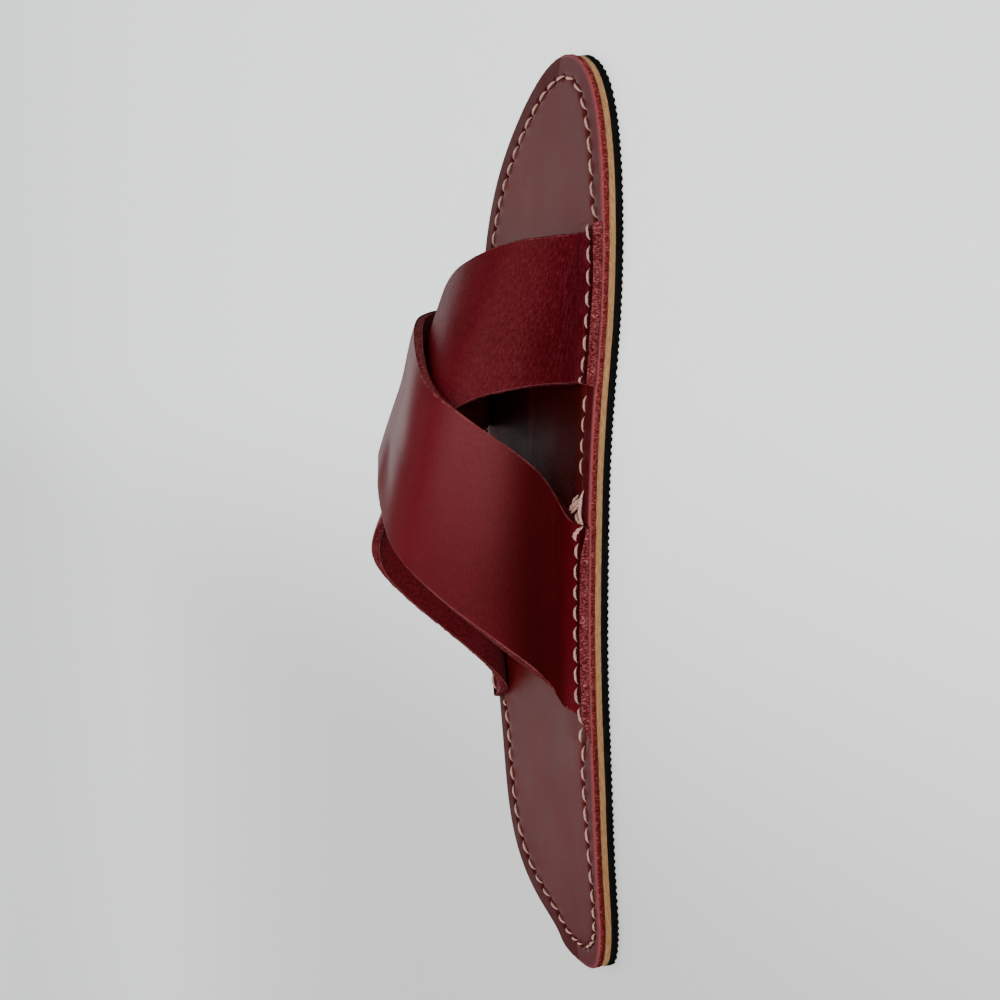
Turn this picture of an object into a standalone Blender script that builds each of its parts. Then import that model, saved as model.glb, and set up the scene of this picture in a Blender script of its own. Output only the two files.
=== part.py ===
"""Cross strap sandal for a left foot: three flat sole layers and two crossed leather straps.

Metres, +Z up. The toe points to -Y and the big toe's side (medial) is at -X. The origin is the
middle of the sole's box, on the floor.
"""
import math

import bmesh
import bpy
import numpy as np
from mathutils import Vector

MM = 0.001

# Driving sizes, in millimetres
LENGTH = 280.0
OUTSOLE_THICK = 2.3
MIDSOLE_THICK = 1.8
INSOLE_THICK = 2.2
STRAP_THICK = 2.5
LAYER_GAP = 0.3
RIM_BEVEL = 0.35
MIDSOLE_INSET = 0.3
HEEL_TIP_ACROSS = -19.0
TOE_TIP_ACROSS = -17.5

# How fine the model is
OUTLINE_STEPS = 56
ACROSS_STEPS = 44
ALONG_STEPS = 8

# The sole's outline: distance from the heel's back, and the edge on the medial and lateral side
# of the straight line from heel to toe
OUTLINE = (
    # along, medial, lateral
    (1.2, -25.4, -6.2),
    (5.6, -28.7, 1.3),
    (11, -29.9, 14.2),
    (34, -28.6, 35.8),
    (62, -27.5, 40.9),
    (95, -26.5, 46.0),
    (129, -28.0, 49.5),
    (168, -32.0, 53.0),
    (202, -38.5, 50.0),
    (230, -41.0, 43.6),
    (252, -40.0, 30.5),
    (269, -35.0, 11.0),
)

# The arch that both straps follow over the foot, as a cage for a B-spline in three sections:
# how far a strap's end bears on the insole on each side before it turns up, and the cage's
# shoulders and crest, each with a place across and a height above the insole
ARCH = (
    # along, medial and lateral foot, medial shoulder, crest, lateral shoulder
    (80, (21, 16.5), (-18, 54.5), (5, 56), (25.5, 58)),
    (150, (20, 14.5), (-13, 52), (12.5, 42.5), (30, 49.5)),
    (230, (10.5, 13.5), (-25.5, 19.5), (1, 28), (28.5, 4)),
)
# Flat part of a strap's end on the medial and the lateral side
MEDIAL_FLAT = 7.5
LATERAL_FLAT = 6.0
# How far the straps' lateral ends are set in from the insole's edge
LATERAL_SET_IN = 2.0

# Where each strap's two edges run along the foot, on the way from the medial to the lateral side
STRAP_EDGES = (
    # way over, front strap (rear, front), back strap (rear, front)
    (0.00, (182.5, 229.6), (72.5, 140.3)),
    (0.03, (182.6, 228.4), (80.2, 141.6)),
    (0.08, (182.8, 227.6), (82.1, 143.6)),
    (0.15, (182.7, 227.0), (89.5, 152.9)),
    (0.30, (178.5, 225.5), (116.9, 174.1)),
    (0.50, (149.5, 215.0), (153.5, 199.5)),
    (0.70, (116.0, 184.5), (165.0, 207.5)),
    (0.85, (86.0, 150.0), (166.0, 210.0)),
    (1.00, (74.0, 132.0), (168.5, 212.5)),
)
# The back strap lies over the front one: how far it is lifted there at its rear edge, and
# at its front edge, where it stands off a little
LIFT_REAR = 2.2
LIFT_FRONT = 4.9
# Way over at which the lift starts, is full, is still full, and has ended
LIFT_WAY = (0.12, 0.29, 0.78, 0.92)

INSOLE_TOP = OUTSOLE_THICK + MIDSOLE_THICK + INSOLE_THICK + 2 * LAYER_GAP
STRAP_BASE = INSOLE_TOP + LAYER_GAP


def spline(xs, ys):
    """A smooth function through the points, as a natural cubic spline."""
    xs = np.asarray(xs, float)
    ys = np.asarray(ys, float)
    gap = np.diff(xs)
    slope = np.diff(ys) / gap
    matrix = np.eye(len(xs))
    right = np.zeros(len(xs))
    for i in range(1, len(xs) - 1):
        matrix[i, i - 1:i + 2] = gap[i - 1], 2 * (gap[i - 1] + gap[i]), gap[i]
        right[i] = 6 * (slope[i] - slope[i - 1])
    bend = np.linalg.solve(matrix, right)

    def value(x):
        i = min(max(int(np.searchsorted(xs, x)) - 1, 0), len(gap) - 1)
        after = x - xs[i]
        before = xs[i + 1] - x
        cubic = (bend[i] * before ** 3 + bend[i + 1] * after ** 3) / (6 * gap[i])
        left = (ys[i] / gap[i] - bend[i] * gap[i] / 6) * before
        return cubic + left + (ys[i + 1] / gap[i] - bend[i + 1] * gap[i] / 6) * after

    return value


def b_spline(cage, way):
    """The point of a clamped cubic B-spline at a way from 0 to 1, by de Boor's rule."""
    spans = len(cage) - 3
    knots = [0.0] * 3 + [i / spans for i in range(spans + 1)] + [1.0] * 3
    k = min(int(way * spans), spans - 1) + 3
    points = [Vector(cage[k - 3 + j]) for j in range(4)]
    for level in range(1, 4):
        for j in range(3, level - 1, -1):
            low = knots[k - 3 + j]
            share = (way - low) / (knots[j + 1 + k - level] - low)
            points[j] = points[j - 1].lerp(points[j], share)
    return points[3]


def turn_of(along):
    """Heel to toe as a half turn from 0 to pi, which makes both ends of an outline round."""
    return math.acos(1 - 2 * min(max(along / LENGTH, 0.0), 1.0))


TURNS = [0.0] + [turn_of(row[0]) for row in OUTLINE] + [math.pi]
MEDIAL_EDGE = spline(TURNS, [HEEL_TIP_ACROSS] + [row[1] for row in OUTLINE] + [TOE_TIP_ACROSS])
LATERAL_EDGE = spline(TURNS, [HEEL_TIP_ACROSS] + [row[2] for row in OUTLINE] + [TOE_TIP_ACROSS])


def outline_points():
    """The sole's outline, from the heel's back up the medial side and down the lateral one."""
    turns = [math.pi * i / OUTLINE_STEPS for i in range(OUTLINE_STEPS + 1)]
    alongs = [LENGTH * (1 - math.cos(turn)) / 2 for turn in turns]
    medial = [(a, MEDIAL_EDGE(t)) for a, t in zip(alongs, turns)]
    lateral = [(a, LATERAL_EDGE(t)) for a, t in zip(alongs, turns)]
    return medial + lateral[-2:0:-1]


EDGE_ACROSS = [across for _, across in outline_points()]
MIDDLE_ACROSS = (min(EDGE_ACROSS) + max(EDGE_ACROSS)) / 2


def place(along, across, height):
    """A point of the shoe, in metres, in the part's own frame."""
    return Vector((across - MIDDLE_ACROSS, LENGTH / 2 - along, height)) * MM


def material(name, colour, roughness):
    made = bpy.data.materials.new(name)
    made.use_nodes = True
    shader = made.node_tree.nodes["Principled BSDF"]
    shader.inputs["Base Color"].default_value = (*colour, 1.0)
    shader.inputs["Roughness"].default_value = roughness
    shader.inputs["Metallic"].default_value = 0.0
    return made


def collection(name):
    made = bpy.data.collections.new(name)
    bpy.context.scene.collection.children.link(made)
    return made


def shade_smooth(mesh):
    mesh.shade_smooth()
    mesh.set_sharp_from_angle(angle=math.radians(40))


def sole_layer(name, bottom, thick, inset, look, home):
    """One flat layer of the sole: the outline as a filled curve, given its thickness."""
    curve = bpy.data.curves.new(name, "CURVE")
    curve.dimensions = "2D"
    curve.fill_mode = "BOTH"
    curve.extrude = thick * MM / 2
    curve.offset = -inset * MM
    points = outline_points()
    line = curve.splines.new("POLY")
    line.points.add(len(points) - 1)
    for point, (along, across) in zip(line.points, points):
        point.co = (*place(along, across, 0).xy, 0, 1)
    line.use_cyclic_u = True
    curve.materials.append(look)
    layer = bpy.data.objects.new(name, curve)
    home.objects.link(layer)
    layer.location.z = (bottom + thick / 2) * MM
    weld = layer.modifiers.new("Weld", "WELD")
    weld.merge_threshold = 0.00001
    rim = layer.modifiers.new("Rim", "BEVEL")
    rim.width = RIM_BEVEL * MM
    rim.segments = 2
    rim.limit_method = "ANGLE"
    rim.angle_limit = math.radians(60)
    return layer


def arch_column(part, item):
    """One number of the arch's table as a smooth function of the place along the foot."""
    return spline([row[0] for row in ARCH], [row[part][item] for row in ARCH])


FEET = [arch_column(1, item) for item in (0, 1)]
CROWN = [(arch_column(part, 0), arch_column(part, 1)) for part in (2, 3, 4)]


def arch_cage(along):
    """The cage of the arch's section at a place along the foot, from medial to lateral edge."""
    medial = MEDIAL_EDGE(turn_of(along))
    lateral = LATERAL_EDGE(turn_of(along)) - LATERAL_SET_IN
    medial_foot, lateral_foot = [foot(along) for foot in FEET]
    crown = [(across(along), height(along)) for across, height in CROWN]
    rise = [(medial, 0), (medial + MEDIAL_FLAT, 0), (medial + medial_foot, 0)]
    fall = [(lateral - lateral_foot, 0), (lateral - LATERAL_FLAT, 0), (lateral, 0)]
    return rise + crown + fall


def arch_point(along, way, lift):
    """A point over the arch, lifted square to its section."""
    cage = arch_cage(along)
    step = 0.002
    here = b_spline(cage, way)
    slope = b_spline(cage, min(way + step, 1)) - b_spline(cage, max(way - step, 0))
    out = Vector((-slope.y, slope.x)).normalized()
    return here + out * lift


def smooth_step(low, high, value):
    share = min(max((value - low) / (high - low), 0.0), 1.0)
    return share * share * (3 - 2 * share)


def crossing_lift(way, share):
    """How high the back strap's underside runs over the arch, for a share from rear to front."""
    start, full, still, end = LIFT_WAY
    rise = smooth_step(start, full, way) * (1 - smooth_step(still, end, way))
    return rise * (LIFT_REAR + (LIFT_FRONT - LIFT_REAR) * smooth_step(0.45, 1.0, share))


def strap(name, column, lift, look, home):
    """A strap as a grid bent over the arch, thickened outwards to the leather's thickness."""
    ways = [row[0] for row in STRAP_EDGES]
    rear = spline(ways, [row[column][0] for row in STRAP_EDGES])
    front = spline(ways, [row[column][1] for row in STRAP_EDGES])
    shape = bmesh.new()
    bmesh.ops.create_grid(shape, x_segments=ACROSS_STEPS, y_segments=ALONG_STEPS, size=0.5)
    for vertex in shape.verts:
        way = min(max(vertex.co.x + 0.5, 0.0), 1.0)
        share = vertex.co.y + 0.5
        along = rear(way) + (front(way) - rear(way)) * share
        across, height = arch_point(along, way, lift(way, share))
        vertex.co = place(along, across, STRAP_BASE + height)
    bmesh.ops.reverse_faces(shape, faces=shape.faces)
    mesh = bpy.data.meshes.new(name)
    shape.to_mesh(mesh)
    shape.free()
    shade_smooth(mesh)
    mesh.materials.append(look)
    made = bpy.data.objects.new(name, mesh)
    home.objects.link(made)
    wall = made.modifiers.new("Leather", "SOLIDIFY")
    wall.thickness = STRAP_THICK * MM
    wall.offset = 1
    return made


def upper(look, home, helpers):
    """Both straps, made one solid where the back strap lies on the front one."""
    front = strap("front_strap", 1, lambda way, share: 0.0, look, helpers)
    front.hide_render = True
    front.display_type = "WIRE"
    made = strap("upper", 2, crossing_lift, look, home)
    join = made.modifiers.new("Crossing", "BOOLEAN")
    join.operation = "UNION"
    join.object = front
    return made


def main():
    for old in list(bpy.data.objects):
        bpy.data.objects.remove(old)
    home = collection("cross_strap_sandal")
    helpers = collection("helpers")
    rubber = material("black_rubber", (0.012, 0.012, 0.013), 0.6)
    tan = material("tan_leather", (0.42, 0.24, 0.11), 0.7)
    footbed = material("footbed_leather", (0.13, 0.045, 0.04), 0.6)
    red = material("red_leather", (0.17, 0.008, 0.014), 0.45)
    midsole_bottom = OUTSOLE_THICK + LAYER_GAP
    insole_bottom = midsole_bottom + MIDSOLE_THICK + LAYER_GAP
    sole_layer("outsole", 0, OUTSOLE_THICK, 0, rubber, home)
    sole_layer("midsole", midsole_bottom, MIDSOLE_THICK, MIDSOLE_INSET, tan, home)
    sole_layer("insole", insole_bottom, INSOLE_THICK, 0, footbed, home)
    upper(red, home, helpers)


main()
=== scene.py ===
# %% [markdown]
# # A hand-sewn cross strap sandal, dressed piece by piece
# The solids of this left sandal are already settled: an outsole, a midsole, an insole and an
# upper of two crossed straps. This lesson gives each of them the surface of the real thing:
# cut leather with a smooth grain side and a rough flesh side, a row of thick stitches, and a
# ribbed rubber sheet on the floor. We work in metres, +Z up, with the toe at -Y and the big
# toe's side, the medial side, at -X.

# %% Load the solids
import math

import bpy
import numpy as np
from mathutils import Matrix, Vector


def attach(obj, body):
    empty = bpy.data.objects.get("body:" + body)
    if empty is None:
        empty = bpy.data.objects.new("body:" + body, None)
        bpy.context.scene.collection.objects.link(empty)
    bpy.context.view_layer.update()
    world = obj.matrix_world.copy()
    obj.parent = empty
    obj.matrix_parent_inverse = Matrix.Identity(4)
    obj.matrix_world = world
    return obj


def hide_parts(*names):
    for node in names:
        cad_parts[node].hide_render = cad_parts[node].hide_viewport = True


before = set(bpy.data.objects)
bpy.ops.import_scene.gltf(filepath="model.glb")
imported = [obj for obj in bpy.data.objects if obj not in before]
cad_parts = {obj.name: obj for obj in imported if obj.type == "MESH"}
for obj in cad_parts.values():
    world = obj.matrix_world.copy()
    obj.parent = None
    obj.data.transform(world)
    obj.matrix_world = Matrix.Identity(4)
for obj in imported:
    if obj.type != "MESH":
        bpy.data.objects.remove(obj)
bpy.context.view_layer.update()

MM = 0.001

# %% [markdown]
# ## The shapes that every piece shares
# A sandal maker cuts all layers of the sole from one pattern, and bends both straps over one
# last. We do the same in numbers: one table for the outline, one for the arch over the foot and
# one for the straps' edges. Smooth curves through a few rows are easier to change than long
# lists of points, and every piece that reads them fits the others. The rows were fitted by
# another script, rounded, and changed by hand in a few places. They weren't worked out from a
# few driving sizes.

# %% The pattern's sizes, in millimetres
LENGTH = 280.0
HEEL_TIP_ACROSS = -19.0
TOE_TIP_ACROSS = -17.5
OUTLINE = np.array([
    # along from the heel, medial edge, lateral edge
    (1.2, -25.4, -6.2),
    (5.6, -28.7, 1.3),
    (11, -29.9, 14.2),
    (34, -28.6, 35.8),
    (62, -27.5, 40.9),
    (95, -26.5, 46.0),
    (129, -28.0, 49.5),
    (168, -32.0, 53.0),
    (202, -38.5, 50.0),
    (230, -41.0, 43.6),
    (252, -40.0, 30.5),
    (269, -35.0, 11.0),
])
ARCH = np.array([
    # along; medial, lateral foot; medial shoulder; crest; lateral shoulder (across, height)
    (80, 21, 16.5, -18, 54.5, 5, 56, 25.5, 58),
    (150, 20, 14.5, -13, 52, 12.5, 42.5, 30, 49.5),
    (230, 10.5, 13.5, -25.5, 19.5, 1, 28, 28.5, 4),
])
MEDIAL_FLAT = 7.5
LATERAL_FLAT = 6.0
LATERAL_SET_IN = 2.0
STRAP_EDGES = np.array([
    # way over the foot, front strap (rear, front), back strap (rear, front)
    (0.00, 182.5, 229.6, 72.5, 140.3),
    (0.03, 182.6, 228.4, 80.2, 141.6),
    (0.08, 182.8, 227.6, 82.1, 143.6),
    (0.15, 182.7, 227.0, 89.5, 152.9),
    (0.30, 178.5, 225.5, 116.9, 174.1),
    (0.50, 149.5, 215.0, 153.5, 199.5),
    (0.70, 116.0, 184.5, 165.0, 207.5),
    (0.85, 86.0, 150.0, 166.0, 210.0),
    (1.00, 74.0, 132.0, 168.5, 212.5),
])
LIFT_REAR = 3.3
LIFT_FRONT = 5.3
LIFT_WAY = (0.12, 0.29, 0.78, 0.92)

# %% Smooth curves through the tables


def spline(xs, ys):
    """A natural cubic spline through the points, for whole arrays of x at once."""
    xs = np.asarray(xs, float)
    ys = np.asarray(ys, float)
    gap = np.diff(xs)
    slope = np.diff(ys) / gap
    matrix = np.eye(len(xs))
    right = np.zeros(len(xs))
    for i in range(1, len(xs) - 1):
        matrix[i, i - 1:i + 2] = gap[i - 1], 2 * (gap[i - 1] + gap[i]), gap[i]
        right[i] = 6 * (slope[i] - slope[i - 1])
    bend = np.linalg.solve(matrix, right)

    def value(x):
        i = np.clip(np.searchsorted(xs, x) - 1, 0, len(gap) - 1)
        after = x - xs[i]
        before = xs[i + 1] - x
        cubic = (bend[i] * before ** 3 + bend[i + 1] * after ** 3) / (6 * gap[i])
        left = (ys[i] / gap[i] - bend[i] * gap[i] / 6) * before
        return cubic + left + (ys[i + 1] / gap[i] - bend[i + 1] * gap[i] / 6) * after

    return value


def smooth_step(low, high, value):
    share = np.clip((value - low) / (high - low), 0, 1)
    return share * share * (3 - 2 * share)


def rise_and_fall(start, full, still, end, value):
    """0 up to start, 1 from full to still, and 0 again past end."""
    return smooth_step(start, full, value) * (1 - smooth_step(still, end, value))


def bell(value, at, width):
    """1 at one place, and softly less on both sides of it."""
    return np.exp(-((value - at) / width) ** 2)


def from_ends(value):
    """How far a value between 0 and 1 is from the nearer of the two."""
    return np.minimum(value, 1 - value)


def turn_of(along):
    """Heel to toe as a half turn, which makes both ends of an outline round."""
    return np.arccos(1 - 2 * np.clip(along / LENGTH, 0, 1))


turns = np.concatenate([[0], turn_of(OUTLINE[:, 0]), [math.pi]])
medial_edge = spline(turns, [HEEL_TIP_ACROSS, *OUTLINE[:, 1], TOE_TIP_ACROSS])
lateral_edge = spline(turns, [HEEL_TIP_ACROSS, *OUTLINE[:, 2], TOE_TIP_ACROSS])
around = np.linspace(0, math.pi, 400)
MIDDLE_ACROSS = (medial_edge(around).min() + lateral_edge(around).max()) / 2


def edges_at(along):
    """The sole's medial edge, its lateral edge, and the middle between them."""
    medial, lateral = medial_edge(turn_of(along)), lateral_edge(turn_of(along))
    return medial, lateral, (medial + lateral) / 2


def place(along, across, height):
    """Points of the shoe as an array of x, y and z in metres."""
    columns = np.broadcast_arrays(across - MIDDLE_ACROSS, LENGTH / 2 - along, height)
    return np.stack(columns, axis=-1) * MM


print("the sole's middle lies", round(float(MIDDLE_ACROSS), 2), "mm lateral of the heel-toe line")

# %% An outline as evenly spaced points, and the same outline set in


def travel(points):
    """How far along a line each of its points lies."""
    steps = np.linalg.norm(np.diff(points, axis=0), axis=1)
    return np.concatenate([[0], np.cumsum(steps)])


def even_outline(count, inset=0.0):
    """Points around the sole at even steps, from the heel's back along the medial side."""
    fine = np.linspace(0, math.pi, 3000)
    along = LENGTH * (1 - np.cos(fine)) / 2
    medial = np.stack([along, medial_edge(fine)], axis=1)
    lateral = np.stack([along, lateral_edge(fine)], axis=1)[::-1][1:-1]
    ring = np.concatenate([medial, lateral])
    if inset:
        tangent = np.roll(ring, -1, axis=0) - np.roll(ring, 1, axis=0)
        tangent /= np.linalg.norm(tangent, axis=1)[:, None]
        ring = ring + inset * np.stack([-tangent[:, 1], tangent[:, 0]], axis=1)
    closed = np.concatenate([ring, ring[:1]])
    travelled = travel(closed)
    wanted = np.linspace(0, travelled[-1], count, endpoint=False)
    return np.stack([np.interp(wanted, travelled, closed[:, i]) for i in (0, 1)], axis=1)


outline_length = float(travel(even_outline(900))[-1])
print("outline length, mm:", round(outline_length))

# %% The arch over the foot, which both straps follow
SECTION_POINTS = 9
arch_column = [spline(ARCH[:, 0], ARCH[:, i]) for i in range(1, ARCH.shape[1])]


def b_spline_weights(way):
    """How much each of a section's cage points pulls at a way over the foot."""
    inner = np.linspace(0, 1, SECTION_POINTS - 2)
    knots = np.concatenate([[0] * 3, inner, [1] * 3])
    way = np.clip(way, 0, 1 - 1e-9)
    weights = [((low <= way) & (way < high)).astype(float) for low, high in zip(knots, knots[1:])]
    for degree in (1, 2, 3):
        for i in range(len(knots) - 1 - degree):
            rise = knots[i + degree] - knots[i]
            fall = knots[i + degree + 1] - knots[i + 1]
            up = (way - knots[i]) / rise * weights[i] if rise else 0
            down = (knots[i + degree + 1] - way) / fall * weights[i + 1] if fall else 0
            weights[i] = up + down
    return weights[:SECTION_POINTS]


def arch(along, way):
    """Across and height of the arch's own surface, above the straps' base."""
    feet_in, feet_out, *crown = [column(along) for column in arch_column]
    medial, lateral, _ = edges_at(along)
    lateral = lateral - LATERAL_SET_IN
    cage_across = [medial, medial + MEDIAL_FLAT, medial + feet_in, crown[0], crown[2], crown[4],
                   lateral - feet_out, lateral - LATERAL_FLAT, lateral]
    cage_height = [0, 0, 0, crown[1], crown[3], crown[5], 0, 0, 0]
    weights = b_spline_weights(way)
    across = sum(w * a for w, a in zip(weights, cage_across))
    height = sum(w * h for w, h in zip(weights, cage_height))
    return across, height


crest = max(float(arch(np.array(150.0), np.array(w))[1]) for w in np.linspace(0, 1, 101))
print("arch height at 150 mm:", round(crest, 1), "mm")

# %% [markdown]
# ## Small helpers for modelling
# Every piece starts as a primitive that is extruded or subdivided in edit mode. Its points are
# then set from their own place in it. An operator acts on whatever is selected, and the loaded
# solids are selected, so each step deselects first. A float attribute carries a distance along
# with the mesh, because a material can read it later.

# %% Helpers: select, edit, read, move, mark
WAVES_IN_NOISE = 24


def deselect():
    bpy.ops.object.select_all(action="DESELECT")


def only(piece):
    deselect()
    piece.select_set(True)
    bpy.context.view_layer.objects.active = piece


def start_edit(piece):
    """Opens a piece in edit mode with everything selected."""
    only(piece)
    bpy.ops.object.mode_set(mode="EDIT")
    bpy.ops.mesh.select_all(action="SELECT")


def stop_edit():
    bpy.ops.object.mode_set(mode="OBJECT")


def face_outward(piece):
    start_edit(piece)
    bpy.ops.mesh.normals_make_consistent(inside=False)
    stop_edit()


def named(name):
    """The object that an operator has just made, under its own name."""
    piece = bpy.context.object
    piece.name = name
    piece.data.name = name
    return piece


def read_all(items, name, width=1, kind=float):
    """One value, or one row of values, for every vertex, edge, corner or face."""
    values = np.empty(len(items) * width, kind)
    items.foreach_get(name, values)
    return values.reshape(-1, width) if width > 1 else values


def points_of(piece):
    return read_all(piece.data.vertices, "co", 3)


def normals_of(piece):
    piece.data.update()
    return read_all(piece.data.vertex_normals, "vector", 3)


def sideways_of(piece):
    """The level direction away from the piece at each of its points."""
    level = normals_of(piece) * [1, 1, 0]
    return level / np.maximum(np.linalg.norm(level, axis=1), 1e-6)[:, None]


def move_points(piece, points):
    piece.data.vertices.foreach_set("co", np.asarray(points, float).ravel())
    piece.data.update()


def new_grid(name, columns, rows):
    """A flat grid, with each vertex's place in it from 0 to 1 along both sides."""
    deselect()
    bpy.ops.mesh.primitive_grid_add(x_subdivisions=columns, y_subdivisions=rows, size=1)
    piece = named(name)
    flat = points_of(piece)
    return piece, flat[:, 0] + 0.5, flat[:, 1] + 0.5


def mark(piece, name, values):
    """Stores one number for each vertex, which a material reads by name."""
    layer = piece.data.attributes.get(name) or piece.data.attributes.new(name, "FLOAT", "POINT")
    layer.data.foreach_set("value", np.asarray(values, np.float32))


def read_mark(piece, name):
    return read_all(piece.data.attributes[name].data, "value", kind=np.float32)


def smooth(piece, degrees=50):
    only(piece)
    bpy.ops.object.shade_smooth_by_angle(angle=math.radians(degrees))


def wobble(points, size_mm, seed):
    """Soft seeded noise from -1 to 1 at each point, as a sum of turned waves."""
    draw = np.random.default_rng(seed)
    total = np.zeros(len(points))
    for _ in range(WAVES_IN_NOISE):
        direction = draw.normal(size=3)
        direction /= np.linalg.norm(direction)
        wave = 2 * math.pi / (size_mm * MM * draw.uniform(0.7, 1.5))
        total += np.sin(points @ direction * wave + draw.uniform(0, 2 * math.pi))
    return total / math.sqrt(WAVES_IN_NOISE)


def finish_piece(piece, node):
    """Ties a piece to the body and hides the solid it stands for, if any."""
    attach(piece, "root")
    if node:
        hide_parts(node)
    print(piece.name, "has", len(piece.data.vertices), "vertices")


# %% [markdown]
# ## Helpers for the finishes
# A material is a small tree of nodes. Typing each link out hides what the finish is, so short
# helpers add a node, turn one range into another, multiply, and lay one colour over another.
# All patterns are measured in millimetres on the shoe itself, by scaling its own object
# coordinates by a thousand.

# %% Node helpers


def feed(tree, socket, value):
    """Gives an input another node's socket, or a number or a colour of its own."""
    if isinstance(value, bpy.types.NodeSocket):
        tree.links.new(value, socket)
    elif socket.type == "RGBA":
        socket.default_value = (*value, 1)
    else:
        socket.default_value = value


def node(tree, kind, inputs=None, **settings):
    """Adds a node with its settings, and feeds its inputs by their names or numbers."""
    made = tree.nodes.new(kind)
    for name, value in settings.items():
        setattr(made, name, value)
    for name, value in (inputs or {}).items():
        feed(tree, made.inputs[name], value)
    return made


def blend(tree, factor, first, second):
    """Mixes two colours; either may be a plain colour or a socket."""
    mix = node(tree, "ShaderNodeMix", data_type="RGBA", blend_type="MIX")
    for number, value in ((0, factor), (6, first), (7, second)):
        feed(tree, mix.inputs[number], value)
    return mix.outputs[2]


def layers(tree, colour, coats):
    """Lays coats over a colour in turn; each is how much of it shows, and its own colour."""
    for share, paint in coats:
        colour = blend(tree, share, colour, paint)
    return colour


def spread(tree, value, low, high, to_low=0.0, to_high=1.0):
    """Turns the range from low to high into another range, and clamps it."""
    return node(tree, "ShaderNodeMapRange", {
        "Value": value, "From Min": low, "From Max": high, "To Min": to_low, "To Max": to_high},
        interpolation_type="SMOOTHSTEP").outputs["Result"]


def calc(tree, how, first, second=0.0):
    return node(tree, "ShaderNodeMath", {0: first, 1: second}, operation=how).outputs[0]


def times(tree, *values):
    """The product of all the values."""
    product = values[0]
    for value in values[1:]:
        product = calc(tree, "MULTIPLY", product, value)
    return product


def rest_of(tree, value):
    """What a value leaves of 1."""
    return calc(tree, "SUBTRACT", 1.0, value)


def shoe_mm(tree, stretch=(1, 1, 1)):
    """The piece's own coordinates in millimetres, squeezed where the pattern is stretched."""
    own = node(tree, "ShaderNodeTexCoord").outputs["Object"]
    scale = [per_axis / MM for per_axis in stretch]
    return node(tree, "ShaderNodeMapping", {"Vector": own, "Scale": scale}).outputs["Vector"]


def marked(tree, name):
    """Reads a number that the mesh carries."""
    return node(tree, "ShaderNodeAttribute", attribute_name=name).outputs["Fac"]


def noise(tree, where, size_mm, detail=3.0, rough=0.55):
    return node(tree, "ShaderNodeTexNoise", {
        "Vector": where, "Scale": 1 / size_mm, "Detail": detail, "Roughness": rough}).outputs["Fac"]


def new_finish(name, roughness, specular=0.5):
    made = bpy.data.materials.new(name)
    made.use_nodes = True
    shader = made.node_tree.nodes["Principled BSDF"]
    shader.inputs["Roughness"].default_value = roughness
    shader.inputs["Specular IOR Level"].default_value = specular
    return made, made.node_tree, shader


def set_colour(tree, shader, colour):
    feed(tree, shader.inputs["Base Color"], colour)


def set_roughness(tree, shader, pattern, smoothest, roughest):
    """Lets a noise pattern's middle range run from the smoothest to the roughest value."""
    feed(tree, shader.inputs["Roughness"], spread(tree, pattern, 0.3, 0.7, smoothest, roughest))


def set_polish(tree, shader, amount):
    """Wax polish as a thin coat, laid on only where amount says."""
    shader.inputs["Coat Roughness"].default_value = 0.5
    feed(tree, shader.inputs["Coat Weight"], amount)


def set_bump(tree, shader, height, depth_mm):
    bump = node(tree, "ShaderNodeBump", {"Height": height, "Distance": depth_mm * MM})
    feed(tree, shader.inputs["Normal"], bump.outputs["Normal"])


print("node helpers ready")

# %% [markdown]
# ## Effects that several finishes share
# Leather has the same three looks all over this sandal: a pebbled grain on its outer face, a
# cloudy unevenness of the dye, and pale cut fibres wherever a knife went through it. Each look is
# one node group with named inputs, so the strap and the insole share it with their own numbers.

# %% Shared group: pebbled grain


def new_group(name, inputs, outputs):
    group = bpy.data.node_groups.new(name, "ShaderNodeTree")
    for socket, kind in inputs.items():
        group.interface.new_socket(socket, in_out="INPUT", socket_type="NodeSocket" + kind)
    for socket, kind in outputs.items():
        group.interface.new_socket(socket, in_out="OUTPUT", socket_type="NodeSocket" + kind)
    return group, group.nodes.new("NodeGroupInput"), group.nodes.new("NodeGroupOutput")


def use_group(tree, group, inputs):
    return node(tree, "ShaderNodeGroup", inputs, node_tree=group)


grain_group, given, out = new_group(
    "leather_grain", {"Place": "Vector", "Pebbles per mm": "Float"}, {"Height": "Float"})
where = given.outputs["Place"]
warp = node(grain_group, "ShaderNodeTexNoise", {"Vector": where, "Scale": 0.8}).outputs["Color"]
warped = node(grain_group, "ShaderNodeVectorMath", {
    0: warp, 1: (0.7, 0.7, 0.7), 2: where}, operation="MULTIPLY_ADD").outputs[0]
pebbles = node(grain_group, "ShaderNodeTexVoronoi", {
    "Vector": warped, "Scale": given.outputs["Pebbles per mm"]}, feature="DISTANCE_TO_EDGE")
rounded = spread(grain_group, pebbles.outputs["Distance"], 0.0, 0.32)
pores = times(grain_group, noise(grain_group, where, 0.35, 2.0), 0.5)
feed(grain_group, out.inputs["Height"], calc(grain_group, "ADD", rounded, pores))
print("made", grain_group.name)

# %% Shared group: cloudy dye

dye_group, given, out = new_group(
    "cloudy_dye",
    {"Place": "Vector", "Dark": "Color", "Main": "Color", "Pale": "Color"}, {"Colour": "Color"})
where = given.outputs["Place"]
clouds = spread(dye_group, noise(dye_group, where, 28.0, 4.0), 0.35, 0.62)
specks = spread(dye_group, noise(dye_group, where, 1.6, 3.0), 0.5, 0.85, 0, 0.35)
feed(dye_group, out.inputs["Colour"], layers(dye_group, given.outputs["Dark"], (
    (clouds, given.outputs["Main"]),
    (specks, given.outputs["Pale"]),
)))
print("made", dye_group.name)

# %% Shared group: cut fibres

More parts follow.
